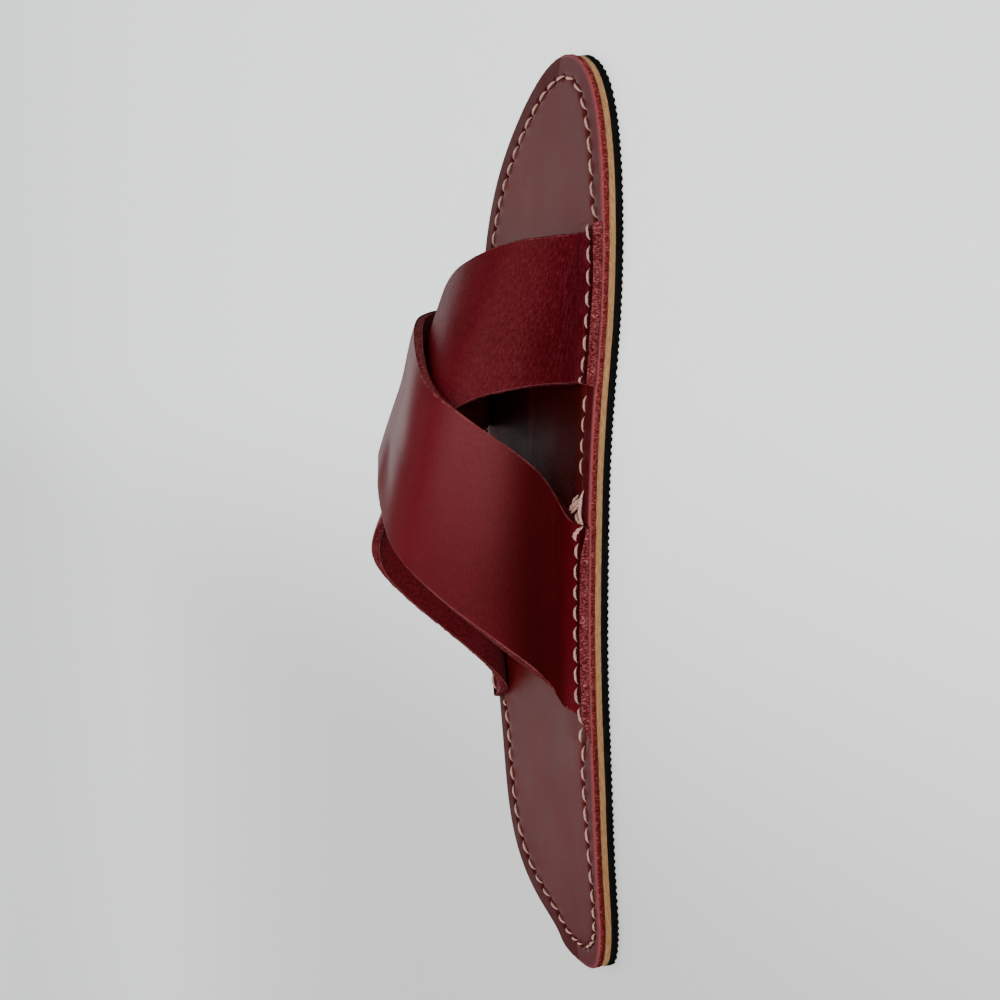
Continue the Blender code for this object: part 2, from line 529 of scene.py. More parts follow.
fibre_group, given, out = new_group(
    "cut_fibres",
    {"Place": "Vector", "Deep": "Color", "Body": "Color", "Tip": "Color"},
    {"Colour": "Color", "Height": "Float"})
where = given.outputs["Place"]
drawn_out = node(fibre_group, "ShaderNodeMapping", {
    "Vector": where, "Rotation": (math.radians(25), 0, 0), "Scale": (1, 1, 0.42)}).outputs["Vector"]
tufts = noise(fibre_group, drawn_out, 0.42, 3.0, 0.65)
bundles = noise(fibre_group, where, 2.8, 2.0)
deep_bundles = spread(fibre_group, bundles, 0.62, 0.42, 0.35, 1.0)
pale_bundles = spread(fibre_group, bundles, 0.36, 0.6, 0.3, 1.0)
feed(fibre_group, out.inputs["Colour"], layers(fibre_group, given.outputs["Body"], (
    (times(fibre_group, spread(fibre_group, tufts, 0.53, 0.42), deep_bundles), given.outputs["Deep"]),
    (times(fibre_group, spread(fibre_group, tufts, 0.52, 0.63), pale_bundles), given.outputs["Tip"]),
)))
feed(fibre_group, out.inputs["Height"], tufts)
print("made", fibre_group.name)

# %% [markdown]
# ## The outsole
# A thin sheet of black rubber with fine ribs across its underside, which show as small knobs at
# its lower edge. A flat plate with a bump map would be quicker, but the ribs break the outline, so
# they are modelled: a grid whose rows run across the foot, each row a little higher or lower than
# the last. Its rim is then extruded up in five steps and closed with one face.

# %% Outsole: the ribbed underside
OUTSOLE_TOP = 2.45
RIB_PITCH = 2.1
RIB_DEPTH = 0.5
ROWS_IN_RIB = 6
CELLS_ACROSS = 14
TIP_GAP = 0.05

rib_rows = int(LENGTH / RIB_PITCH * ROWS_IN_RIB)
outsole, across_share, along_share = new_grid("rubber_outsole", CELLS_ACROSS, rib_rows)
along = TIP_GAP + (LENGTH - 2 * TIP_GAP) * along_share
medial, lateral, _ = edges_at(along)
across = medial + (lateral - medial) * across_share
flat = place(along, across, 0)
rib_phase = 2 * math.pi * along / RIB_PITCH + 1.1 * wobble(flat, 16, 3)
rib = smooth_step(0.2, 0.8, 0.5 + 0.5 * np.cos(rib_phase))
flat[:, 2] = RIB_DEPTH * MM * (1 - rib) * (0.85 + 0.15 * wobble(flat, 6, 4))
flat[:, 2] = np.maximum(flat[:, 2], 0)
move_points(outsole, flat)
mark(outsole, "rib", rib)
print("ribs across the sole:", int(LENGTH / RIB_PITCH))

# %% Outsole: the wall and the top
WALL_RISES = (0.5, 0.5, 0.6, 0.4, 0.25)
WALL_HEIGHTS = np.array([0, 0.45, 0.95, 1.5, 2.25, OUTSOLE_TOP])
KNOB = 0.38
TOP_SET_IN = 0.22


def extrude_rim(piece, rises_mm):
    """Pulls the open rim of a sheet up in steps and closes the last ring with a face."""
    start_edit(piece)
    bpy.ops.mesh.region_to_loop()
    for rise in rises_mm:
        bpy.ops.mesh.extrude_edges_move(TRANSFORM_OT_translate={"value": (0, 0, rise * MM)})
    bpy.ops.mesh.edge_face_add()
    stop_edit()
    face_outward(piece)


underside_count = len(outsole.data.vertices)
extrude_rim(outsole, WALL_RISES)
points = points_of(outsole)
wall_count = len(points) - underside_count
level = np.zeros(len(points), int)
level[underside_count:] = np.arange(wall_count) // (wall_count // len(WALL_RISES)) + 1
wall = level > 0
points[wall, 2] = WALL_HEIGHTS[level[wall]] * MM
lower = np.where(wall, np.clip(1.6 - level * 0.5, 0, 1), 0)
knob = lower * KNOB * (read_mark(outsole, "rib") - 0.35 + 0.35 * wobble(points, 1.8, 5))
knob = knob - TOP_SET_IN * (level == len(WALL_RISES))
points += sideways_of(outsole) * knob[:, None] * MM
move_points(outsole, points)
smooth(outsole, 60)
print("outsole height, mm:", round(points[:, 2].max() / MM, 2))

# %% Outsole: black rubber
rubber, tree, shader = new_finish("black_rubber", 0.62, 0.25)
dust = spread(tree, noise(tree, shoe_mm(tree), 5.0, 4.0), 0.5, 0.8, 0, 0.5)
set_colour(tree, shader, blend(tree, dust, (0.004, 0.004, 0.0038), (0.010, 0.0105, 0.010)))
scratch = noise(tree, shoe_mm(tree, (1, 1, 0.3)), 0.7, 4.0, 0.7)
set_roughness(tree, shader, scratch, 0.5, 0.78)
set_bump(tree, shader, scratch, 0.12)
outsole.data.materials.append(rubber)
finish_piece(outsole, "outsole")

# %% [markdown]
# ## A leather layer with a cut edge
# The midsole and the insole are both leather boards, cut round with a knife. A circle with one
# vertex every 0.4 mm is set to the outline, extruded up ring by ring and closed by rings that step
# inwards. The many small steps let us roughen the cut edge in the mesh itself, which a bump map
# could not show in the outline.

# %% Layer helpers: rings of points
RING_COUNT = 1600


def layer_ring(name, count):
    """A circle with a face, which becomes the underside of a layer."""
    deselect()
    bpy.ops.mesh.primitive_circle_add(vertices=count, radius=0.1, fill_type="NGON")
    return named(name)


def grow_rings(piece, rings):
    """Extrudes the layer's face once for each later ring, then sets every ring's points."""
    count = len(piece.data.vertices)
    start_edit(piece)
    for _ in rings[1:]:
        bpy.ops.mesh.extrude_region_move(TRANSFORM_OT_translate={"value": (0, 0, 1 * MM)})
    stop_edit()
    order = np.argsort(np.round(points_of(piece)[:, 2], 5), kind="stable")
    angles = np.arctan2(points_of(piece)[:, 1], points_of(piece)[:, 0]) % (2 * math.pi)
    points = np.empty((len(piece.data.vertices), 3))
    level = np.empty(len(points))
    for number, ring in enumerate(rings):
        members = order[number * count:(number + 1) * count]
        members = members[np.argsort(angles[members])]
        points[members] = ring
        level[members] = number
    move_points(piece, points)
    face_outward(piece)
    return level


def outline_ring(count, inset, height):
    ring = even_outline(count, inset)
    return place(ring[:, 0], ring[:, 1], height)


def roughen_edge(piece, on_wall, coarse_mm, fine_mm, seed):
    """Pushes the cut edge's points in and out: a wavering knife line, then torn fibres."""
    points = points_of(piece)
    push = coarse_mm * wobble(points * [1, 1, 0], 22, seed)
    push = push + fine_mm * wobble(points, 0.75, seed + 1) + fine_mm * wobble(points, 2.2, seed + 2)
    move_points(piece, points + sideways_of(piece) * (push * on_wall)[:, None] * MM)


print("ring spacing, mm:", round(outline_length / RING_COUNT, 2))

# %% Midsole: a tan board between rubber and insole
MIDSOLE_TOP = 4.6
MIDSOLE_INSET = 0.15

midsole = layer_ring("tan_midsole", RING_COUNT)
midsole_rings = [
    outline_ring(RING_COUNT, MIDSOLE_INSET + inset, height)
    for height, inset in (
        (OUTSOLE_TOP + 0.02, 0.25), (2.62, 0.03), (3.0, 0), (3.35, 0.05), (3.7, 0.05),
        (4.05, 0), (4.4, 0.03), (MIDSOLE_TOP - 0.02, 0.25))]
level = grow_rings(midsole, midsole_rings)
roughen_edge(midsole, (level > 0) * (level < len(midsole_rings) - 1), 0.07, 0.035, 11)
smooth(midsole, 50)

# %% Midsole: tan board
tan, tree, shader = new_finish("tan_board", 0.75, 0.3)
streaks = noise(tree, shoe_mm(tree, (0.25, 0.25, 1.6)), 0.5, 3.0)
smudge = spread(tree, noise(tree, shoe_mm(tree), 9.0, 3.0), 0.58, 0.75, 0, 0.5)
set_colour(tree, shader, layers(tree, (0.30, 0.14, 0.055), (
    (spread(tree, streaks, 0.35, 0.7), (0.46, 0.24, 0.11)),
    (smudge, (0.26, 0.14, 0.06)),
)))
set_bump(tree, shader, streaks, 0.12)
midsole.data.materials.append(tan)
finish_piece(midsole, "midsole")

# %% [markdown]
# ## Where the thread runs
# One line of thick thread holds straps, insole and midsole together. It runs all the way round,
# a little inside the edge, and closer to it where it goes over the straps. Before we shape the
# leather we need that line, because each stitch pulls a small dent into it. The stitches are
# shorter round the narrow heel, where the sewer has to turn.

# %% The stitch line
STITCH_INSET = 6.0
STITCH_INSET_ON_STRAP = 2.9
STITCH_PITCH = 6.4
CORNER_PITCH = 2.9
HEEL_CORNER = (7.0, -22.5)
STITCH_START = 0.75
UNEVEN_PITCH = 0.07
LINE_POINTS = 4000
SMOOTHING_ROUNDS = 60
edge_curves = [spline(STRAP_EDGES[:, 0], STRAP_EDGES[:, i]) for i in range(1, 5)]
strap_edge = {"front_strap": edge_curves[:2], "back_strap": edge_curves[2:]}


def covered(along, is_lateral, soft=0.7):
    """1 where a strap's end lies on the insole, 0 where it doesn't."""
    total = np.zeros(np.shape(along))
    for rear, front in strap_edge.values():
        for side, way in ((0, 0.0), (1, 1.0)):
            on_side = np.asarray(is_lateral) == side
            start, stop = float(rear(way)), float(front(way))
            inside = rise_and_fall(start - soft, start + soft, stop - soft, stop + soft, along)
            total = total + on_side * inside
    return total


def stitch_line(count):
    """Along and across of many points on the line, in order round the sole."""
    outer = even_outline(count, STITCH_INSET)
    inner = even_outline(count, STITCH_INSET_ON_STRAP)
    lateral_side = np.arange(count) > count / 2
    near_edge = covered(outer[:, 0], lateral_side, 4.0)
    heel_side = np.where(lateral_side, 0, rise_and_fall(7, 15, 22, 62, outer[:, 0]))
    near_edge = np.maximum(near_edge, heel_side)
    drawn = outer + (inner - outer) * near_edge[:, None]
    for _ in range(SMOOTHING_ROUNDS):
        drawn = (np.roll(drawn, 3, axis=0) + drawn + np.roll(drawn, -3, axis=0)) / 3
    return drawn


line = stitch_line(LINE_POINTS)
closed_line = np.concatenate([line, line[:1]])
steps = np.linalg.norm(np.diff(closed_line, axis=0), axis=1)
corner_way = np.linalg.norm(closed_line[:-1] - HEEL_CORNER, axis=1)
pitch = STITCH_PITCH + (CORNER_PITCH - STITCH_PITCH) * (1 - smooth_step(0, 26, corner_way))
stitch_number = np.concatenate([[0], np.cumsum(steps / pitch)])
stitch_count = int(round(stitch_number[-1]))
stitch_number *= stitch_count / stitch_number[-1]
print("stitches:", stitch_count)

# %% Where the thread dents the leather
GROOVE_DEPTH, GROOVE_WIDTH = 0.28, 0.95
HOLE_DEPTH, HOLE_WIDTH = 0.75, 0.75
AT_ONCE = 4000


def on_line(numbers):
    """Along and across at a stitch number, whole for each gap between two stitches."""
    return np.stack([np.interp(numbers, stitch_number, closed_line[:, i]) for i in (0, 1)], axis=1)


draw = np.random.default_rng(21)
gap_numbers = np.arange(stitch_count) + STITCH_START + draw.uniform(
    -UNEVEN_PITCH, UNEVEN_PITCH, stitch_count)
gaps = on_line(gap_numbers % stitch_count)
gap_xy = place(gaps[:, 0], gaps[:, 1], 0)[:, :2]
line_xy = place(line[::5, 0], line[::5, 1], 0)[:, :2]


def nearest(points, targets):
    """Distance in plan, in mm, from each point to the nearest of the targets."""
    found = np.empty(len(points))
    for start in range(0, len(points), AT_ONCE):
        part = points[start:start + AT_ONCE, None, :2] - targets[None]
        found[start:start + AT_ONCE] = np.sqrt((part ** 2).sum(axis=2).min(axis=1)) / MM
    return found


def thread_dents(points):
    """How deep the thread pulls the leather in, and how much painted shade its hole gets, at each point."""
    groove = bell(nearest(points, line_xy), 0, GROOVE_WIDTH)
    hole = bell(nearest(points, gap_xy), 0, HOLE_WIDTH)
    return GROOVE_DEPTH * groove + HOLE_DEPTH * hole, hole


print("holes:", len(gap_xy))

# %% [markdown]
# ## The insole
# The footbed is the same red leather as the straps, laid grain side up. Its rim is darker where the
# maker burnished it, its upper corner is scraped to a pale lip, and its cut edge shows pale and
# deep red fibres. It is pressed thinner where a strap's end lies on it. Rings that follow the edge
# carry the groove of the stitches better than a square grid would.

# %% Insole: rings from the underside over the edge to the middle
INSOLE_TOP = 7.1
STRAP_PRESS = 0.28
SPINE_START = 60.0
SPINE_END = 225.0
# The height and inset of each ring of the wall, the insets of the rings on top, and how far
# the last rings are drawn in to the foot's middle
wall_steps = (
    (MIDSOLE_TOP, 0.3), (4.75, 0.06), (5.1, 0), (5.5, 0), (5.9, 0), (6.3, 0), (6.65, 0.02),
    (6.9, 0.1), (7.04, 0.25))
top_steps = (
    0.5, 0.9, 1.5, 2.2, 2.9, 3.4, 3.8, 4.15, 4.5, 4.85, 5.2, 5.55, 5.9, 6.25, 6.6, 7.0, 7.5,
    8.3, 9.6, 11.5)
inward_shares = (0.12, 0.28, 0.48, 0.7, 0.9)


def spine_ring(count, share):
    """A ring drawn in from the last outline ring towards a line along the foot's middle."""
    ring = even_outline(count, top_steps[-1])
    along = np.clip(ring[:, 0], SPINE_START, SPINE_END)
    target = np.stack([along, edges_at(along)[2]], axis=1)
    drawn = ring + (target - ring) * share
    return place(drawn[:, 0], drawn[:, 1], INSOLE_TOP)


insole = layer_ring("leather_insole", RING_COUNT)
insole_rings = [outline_ring(RING_COUNT, inset, height) for height, inset in wall_steps]
insole_rings += [outline_ring(RING_COUNT, inset, INSOLE_TOP) for inset in top_steps]
insole_rings += [spine_ring(RING_COUNT, share) for share in inward_shares]
level = grow_rings(insole, insole_rings)
inward_insets = [14.0 + 10 * share for share in inward_shares]
ring_insets = np.array([0.0] * len(wall_steps) + list(top_steps) + inward_insets)
inset_mm = ring_insets[level.astype(int)]
print("insole rings:", len(insole_rings))

# %% Insole: pressed under the straps, dented by the thread, roughened at its edge
points = points_of(insole)
along = LENGTH / 2 - points[:, 1] / MM
is_lateral = points[:, 0] / MM + MIDDLE_ACROSS > edges_at(along)[2]
pressed = covered(along, is_lateral) * (1 - smooth_step(8, 16, inset_mm))
height_share = smooth_step(MIDSOLE_TOP + 0.4, INSOLE_TOP, points[:, 2] / MM)
on_top = inset_mm > 0.3
dent, hole = (values * on_top for values in thread_dents(points))
soft_waves = 0.06 * wobble(points, 38, 31) * smooth_step(1, 8, inset_mm)
dish = 0.25 * smooth_step(6, 22, inset_mm)
points[:, 2] -= (STRAP_PRESS * pressed * height_share + dent + dish - soft_waves) * MM
move_points(insole, points)
roughen_edge(insole, (level > 0) * (level < len(wall_steps) - 1), 0.06, 0.05, 41)
mark(insole, "inset", inset_mm)
mark(insole, "hole", hole)
mark(insole, "cut_height", height_share)
mark(insole, "outer_side", is_lateral * 1.0)
# The under_straps mark is where painted shade darkens the footbed beneath the straps.
mark(insole, "under_straps", rise_and_fall(122, 140, 183, 200, along) * smooth_step(6, 10, inset_mm))
mark(insole, "toward_heel", 1 - smooth_step(20, 110, along))
smooth(insole, 60)
print("deepest hole, mm:", round(float(dent.max()), 2))

# %% Insole: the footbed's finish
RED_DEEP = (0.095, 0.0022, 0.0055)
RED_MAIN = (0.122, 0.0034, 0.0088)
RED_PALE = (0.15, 0.010, 0.016)
BARE_FIBRE = (0.26, 0.06, 0.07)
# Painted shade: each stitch hole is painted near black, as if one looked down into it.
HOLE_SHADE = (0.004, 0.0008, 0.001)
HOLE_SHOW = 0.95

footbed, tree, shader = new_finish("footbed_leather", 0.5, 0.06)
here = shoe_mm(tree)
dye = use_group(tree, dye_group, {
    "Place": here, "Dark": (0.088, 0.004, 0.0038), "Main": (0.105, 0.0055, 0.005),
    "Pale": (0.13, 0.014, 0.012)})
inset_here = marked(tree, "inset")
margin = spread(tree, inset_here, 6.8, 4.6)
outer_side = times(tree, marked(tree, "outer_side"), 0.8)
burnish = times(tree, margin, outer_side)
# Painted shade: the footbed under the straps is painted near black, and its polish is left off there.
under_strap_shade = marked(tree, "under_straps")
lip = times(tree, spread(tree, inset_here, 1.1, 0.3, 0, 0.75), rest_of(tree, outer_side))
set_colour(tree, shader, layers(tree, dye.outputs["Colour"], (
    (times(tree, margin, 0.75), (0.085, 0.0025, 0.0055)),
    (burnish, (0.06, 0.0012, 0.0025)),
    (times(tree, under_strap_shade, 0.7), (0.022, 0.0012, 0.0012)),
    (lip, BARE_FIBRE),
    # Painted shade in the stitch holes.
    (times(tree, marked(tree, "hole"), HOLE_SHOW), HOLE_SHADE),
)))
# The polish is left off where the painted shade lies, and partly on the burnished rim.
shade_and_burnish = calc(tree, "MAXIMUM", under_strap_shade, times(tree, burnish, 0.8))
dull = times(tree, under_strap_shade, spread(tree, inset_here, 26, 14, 0.0, 0.9))
set_polish(tree, shader, times(tree, rest_of(tree, shade_and_burnish), 0.54, rest_of(tree, dull)))
set_roughness(tree, shader, noise(tree, here, 14.0, 3.0), 0.44, 0.56)
grain = use_group(tree, grain_group, {"Place": here, "Pebbles per mm": 1.5})
set_bump(tree, shader, grain.outputs["Height"], 0.018)
print("made", footbed.name)

# %% Insole: the cut edge's finish


def cut_edge_finish(name, deep, body, tip, layered=False):
    """Pale and deep fibres; on the insole, a pale lip above and darker below, more so towards the heel."""
    made, tree, shader = new_finish(name, 0.9, 0.2)
    fibres = use_group(tree, fibre_group, {
        "Place": shoe_mm(tree), "Deep": deep, "Body": body, "Tip": tip})
    colour = fibres.outputs["Colour"]
    if layered:
        up = marked(tree, "cut_height")
        at_heel = calc(tree, "ADD", 0.3, times(tree, marked(tree, "toward_heel"), 0.4))
        colour = layers(tree, colour, (
            (times(tree, spread(tree, up, 0.55, 0.1), at_heel), deep),
            (spread(tree, up, 0.62, 0.9, 0, 0.7), tip),
        ))
    set_colour(tree, shader, colour)
    set_bump(tree, shader, fibres.outputs["Height"], 0.22)
    return made


def finish_faces(piece, finishes, numbers):
    """Gives every face the finish that its number stands for."""
    for finish in finishes:
        piece.data.materials.append(finish)
    piece.data.polygons.foreach_set("material_index", numbers.astype(np.int32))
    piece.data.update()


def mean_of_faces(piece, name):
    """A marked number's mean over each face."""
    values = read_mark(piece, name)
    corners = read_all(piece.data.loops, "vertex_index", kind=int)
    starts = read_all(piece.data.polygons, "loop_start", kind=int)
    return np.add.reduceat(values[corners], starts) / np.add.reduceat(np.ones(len(corners)), starts)


insole_cut = cut_edge_finish(
    "insole_cut_edge", (0.06, 0.0012, 0.0014), (0.185, 0.016, 0.014), (0.36, 0.085, 0.09), layered=True)
upright = read_all(insole.data.polygons, "normal", 3)[:, 2] < 0.35
at_rim = mean_of_faces(insole, "inset") < 0.3
finish_faces(insole, (footbed, insole_cut), (upright & at_rim) * 1)
finish_piece(insole, "insole")

# %% [markdown]
# ## The straps
# Both straps are the same thing: a strip of thick leather, grain side out, bent over the last. We
# start from a flat slab with a fine grid, one unit long, wide and thick, and use each point's place
# in the slab as its way over the foot, its share from the rear to the front edge, and its depth in
# the leather. One function then bends the slab over the arch. This keeps the two faces and the cut
# edge as one closed skin, where Solidify alone would give a rim of a single row of faces.

# %% Straps: a flat slab
STRAP_TOP = 2.65
STRAP_BASE = 7.2
NEAR_SOLE = 6
WAY_STEPS = 250
SHARE_STEPS = 88
EDGE_ROWS = 8
AT_EDGE = 1e-4


def flat_slab(name):
    """A closed slab from 0 to 1 each way, whose side walls are cut into rows."""
    piece, _, _ = new_grid(name, WAY_STEPS, SHARE_STEPS)
    start_edit(piece)
    bpy.ops.mesh.extrude_region_move(TRANSFORM_OT_translate={"value": (0, 0, 1)})
    bpy.ops.mesh.select_mode(type="EDGE")
    bpy.ops.mesh.select_all(action="DESELECT")
    stop_edit()
    ends = read_all(piece.data.edges, "vertices", 2, int)
    height = points_of(piece)[:, 2]
    upright = np.abs(height[ends[:, 0]] - height[ends[:, 1]]) > 0.5
    piece.data.edges.foreach_set("select", upright)
    bpy.ops.object.mode_set(mode="EDIT")
    bpy.ops.mesh.subdivide(number_cuts=EDGE_ROWS - 1)
    bpy.ops.mesh.select_mode(type="VERT")
    stop_edit()
    face_outward(piece)
    flat = points_of(piece)
    return piece, flat[:, 0] + 0.5, flat[:, 1] + 0.5, 1 - flat[:, 2]


def over_arch(along, way, lift):
    """Across and height over the arch, lifted square to its section."""
    step = 0.002
    across, height = arch(along, way)
    across_after, height_after = arch(along, np.minimum(way + step, 1))
    across_before, height_before = arch(along, np.maximum(way - step, 0))
    out_across = height_before - height_after
    out_height = across_after - across_before
    size = np.hypot(out_across, out_height)
    return across + out_across / size * lift, height + out_height / size * lift


print("slab cells:", WAY_STEPS * SHARE_STEPS)

# %% Straps: how high they lie, and how they are beaten thin
CORNER_PRESS = 2.2
BOW = 1.9
GIVE = 2.3


def crossing_lift(way, share):
    """How far the back strap stands over the arch, for a share from its rear to its front edge."""
    bow = BOW * bell(way, 0.50, 0.065) * (1 - smooth_step(0, 0.25, share))
    lift = LIFT_REAR + (LIFT_FRONT - LIFT_REAR) * smooth_step(0.45, 1.0, share)
    return rise_and_fall(*LIFT_WAY, way) * lift + bow


def pressed_under(way, share):
    """The front strap gives way a little where the other one presses on its crest."""
    return -GIVE * rise_and_fall(0, 0.16, 0.45, 0.8, share) * bell(way, 0.60, 0.13)


def corner_press(name, way, share):
    """How much thinner the back strap's end is beaten at its corners, in mm."""
    if name == "front_strap":
        return 0 * way
    corner = np.maximum(1 - smooth_step(0, 0.13, share), 1 - smooth_step(0, 0.20, 1 - share))
    return CORNER_PRESS * corner * (1 - smooth_step(0.0, 0.055, from_ends(way)))


print("lift over the crest, mm:", LIFT_REAR, "to", LIFT_FRONT)

# %% Straps: bend the slab
STRAP_THICK = 2.7
END_EXTRA = 0.3
RIM_ROUND = 0.4
WAVER = 0.22
# How many mm over the foot one unit of way stands for: at the strap's ends, and on the whole
END_SPEED = 135.0
ROUND_LENGTH = 150
CUT_SHEET_WIDTH = 60


def flat_sheet(way, share, width):
    """The strap's points on its sheet laid flat, where the seeded noise is read."""
    return np.stack([way * ROUND_LENGTH, share * width, way * 0], axis=1) * MM


def bend_slab(piece, name, way, share, depth, lift, cuts, relief, seed):
    """Moves the slab's points over the foot.

    Cuts gives how far the outer and the inner face are cut back at the front edge, and then the
    same at the rear edge, so the rim can lean either way.
    """
    rear, front = strap_edge[name]
    depth = 0.5 - 0.5 * np.cos(math.pi * depth)
    at_end, at_side = from_ends(way) < AT_EDGE, from_ends(share) < AT_EDGE
    pull = RIM_ROUND * np.abs(2 * depth - 1) ** 3
    width = front(way) - rear(way)
    front_outer, front_inner, rear_outer, rear_inner = cuts(way)
    cut_back = pull + np.where(
        share > 0.5,
        front_outer * (1 - depth) + front_inner * depth,
        rear_outer * (1 - depth) + rear_inner * depth)
    waver = WAVER * wobble(flat_sheet(way, share, CUT_SHEET_WIDTH), 16, seed)
    outset = np.where(at_side, -cut_back, 0) + waver * smooth_step(0.9, 1.0, np.abs(2 * share - 1))
    share_moved = share + np.where(share < 0.5, -1, 1) * outset / width
    end_pull = np.where(way < 0.5, 1, -1) * pull / END_SPEED
    way_moved = np.clip(way + np.where(at_end, end_pull, 0), 0, 1)
    along = rear(way_moved) + width * share_moved
    press = corner_press(name, way, share)
    thick = STRAP_THICK + END_EXTRA * (1 - smooth_step(0.03, 0.14, from_ends(way_moved))) - press
    top = STRAP_TOP + lift(way_moved, share_moved) + relief(way_moved, share_moved) - press
    across, height = over_arch(along, way_moved, top - thick * depth)
    # A known fault: this bend mirrors the slab, so the strap's faces point into the leather
    move_points(piece, place(along, across, STRAP_BASE + height))
    medial, lateral, _ = edges_at(along)
    from_edge = np.minimum(across - medial, lateral - LATERAL_SET_IN - across)
    mark(piece, "depth", depth)
    mark(piece, "side", from_ends(share) * 50)
    mark(piece, "round", way * ROUND_LENGTH)
    mark(piece, "share", share)
    mark(piece, "along", along)
    mark(piece, "from_edge", np.where(from_ends(way) < 0.12, from_edge, 20))
    return at_side | at_end, depth


def fray_rim(piece, rim, depth, fine_mm, seed):
    """Roughens the cut edge's own points along their normals, most in its middle."""
    points = points_of(piece)
    normal = normals_of(piece)
    fibres = wobble(points, 0.8, seed) + 0.8 * wobble(points, 2.5, seed + 1)
    amount = fine_mm * rim * np.sin(math.pi * np.clip(depth, 0.08, 0.92))
    move_points(piece, points + normal * (amount * fibres)[:, None] * MM)


def dent_strap(piece, depth):
    """Presses the groove and the holes of the stitches into the strap's outer face."""
    points = points_of(piece)
    dent, hole = thread_dents(points)
    outer = (depth < 0.02) & (points[:, 2] < (STRAP_BASE + NEAR_SOLE) * MM)
    points[:, 2] -= np.where(outer, dent, 0) * MM
    move_points(piece, points)
    mark(piece, "hole", np.where(outer, hole, 0))


print("strap thickness, mm:", STRAP_THICK)

# %% [markdown]
# ## Creases, listed one by one
# Where a strap turns up from the insole its leather folds a little. The folds are placed one by
# one: how far over the foot each lies, where it starts and stops between the strap's edges, how it
# drifts, and how deep and wide it is. Each is a soft trough with a low ridge beside it.

# %% Creases
# One unit of way in mm, where the straps turn up
CREASE_SPEED = 190
CREASE_SHEET_WIDTH = 55
SOFT_WAVES = 0.16
FRONT_CREASES = (
    # way, share from, share to, drift in way, depth mm, half width mm
    (0.072, 0.05, 0.42, 0.004, 0.16, 0.8),
    (0.086, 0.30, 0.95, -0.003, 0.14, 0.7),
    (0.098, 0.02, 0.30, 0.003, 0.15, 0.8),
    (0.106, 0.40, 0.80, 0.004, 0.12, 0.7),
    (0.118, 0.55, 0.98, -0.005, 0.15, 0.9),
    (0.128, 0.08, 0.50, 0.005, 0.10, 0.8),
    (0.142, 0.62, 0.96, 0.004, 0.10, 0.9),
    (0.930, 0.10, 0.60, 0.004, 0.15, 0.9),
    (0.908, 0.35, 0.90, -0.004, 0.13, 0.9),
)
BACK_CREASES = (
    (0.100, 0.70, 0.96, 0.008, 0.16, 0.9),
    (0.118, 0.62, 0.93, 0.010, 0.14, 0.8),
    (0.136, 0.74, 0.95, 0.006, 0.12, 0.8),
    (0.090, 0.10, 0.45, 0.004, 0.12, 0.9),
    (0.160, 0.25, 0.60, 0.010, 0.10, 1.2),
    (0.925, 0.20, 0.80, 0.004, 0.15, 1.0),
)


def crease_relief(creases, seed):
    """A function of way and share that gives the creases' height in mm, and soft waves."""
    def relief(way, share):
        total = np.zeros(np.shape(way))
        for at, start, stop, drift, deep, half in creases:
            line_way = at + drift * (share - start) / (stop - start)
            side = (way - line_way) * CREASE_SPEED / half
            fade = rise_and_fall(start - 0.06, start + 0.12, stop - 0.12, stop + 0.06, share)
            total = total + fade * deep * (0.5 * bell(side, 1.9, 1) - bell(side, 0, 1))
        return total + SOFT_WAVES * wobble(flat_sheet(way, share, CREASE_SHEET_WIDTH), 34, seed)
    return relief


print("creases:", len(FRONT_CREASES) + len(BACK_CREASES))

# %% The front strap, which lies under the other


def front_strap_cuts(way):
    none = 0 * way
    return 0.35 + none, none, none + 0.15, none - 0.25


def make_strap(name, lift, cuts, creases, fray_mm, seed):
    """Bends a slab into a strap, frays its cut edge and lets the thread press into it."""
    piece, way, share, depth = flat_slab(name)
    rim, depth = bend_slab(
        piece, name, way, share, depth, lift, cuts, crease_relief(creases, seed), seed + 1)
    fray_rim(piece, rim, depth, fray_mm, seed + 2)
    dent_strap(piece, depth)
    smooth(piece, 60)
    print(name, "top, mm:", round(points_of(piece)[:, 2].max() / MM, 1))
    return piece


front_strap = make_strap("front_strap", pressed_under, front_strap_cuts, FRONT_CREASES, 0.13, 51)

# %% The back strap, lifted over the front one


def back_strap_cuts(way):
    """The rim hides under the front edge near the sole, and shows at the rear edge above it."""
    over = smooth_step(0.2, 0.34, way)
    leaning = bell(way, 0.2, 0.055)
    return 0.9 * over, 1.5 - 0.8 * over, 1.1 * (1 - smooth_step(0.12, 0.2, way)), -1.5 * leaning


back_strap = make_strap("back_strap", crossing_lift, back_strap_cuts, BACK_CREASES, 0.11, 61)

# %% Straps: the grain side
FOLD_HIGHLIGHT = (0.21, 0.026, 0.04)
WRINKLE_SHADE, WRINKLE_HIGHLIGHT = (0.05, 0.0006, 0.002), (0.22, 0.024, 0.04)


def strap_place(tree, round_mm, along_mm):
    """A pattern's place on a strap: how far round the foot and along it, in cells."""
    return node(tree, "ShaderNodeCombineXYZ", {
        "X": calc(tree, "DIVIDE", marked(tree, "round"), round_mm),
        "Y": calc(tree, "DIVIDE", marked(tree, "along"), along_mm)}).outputs["Vector"]


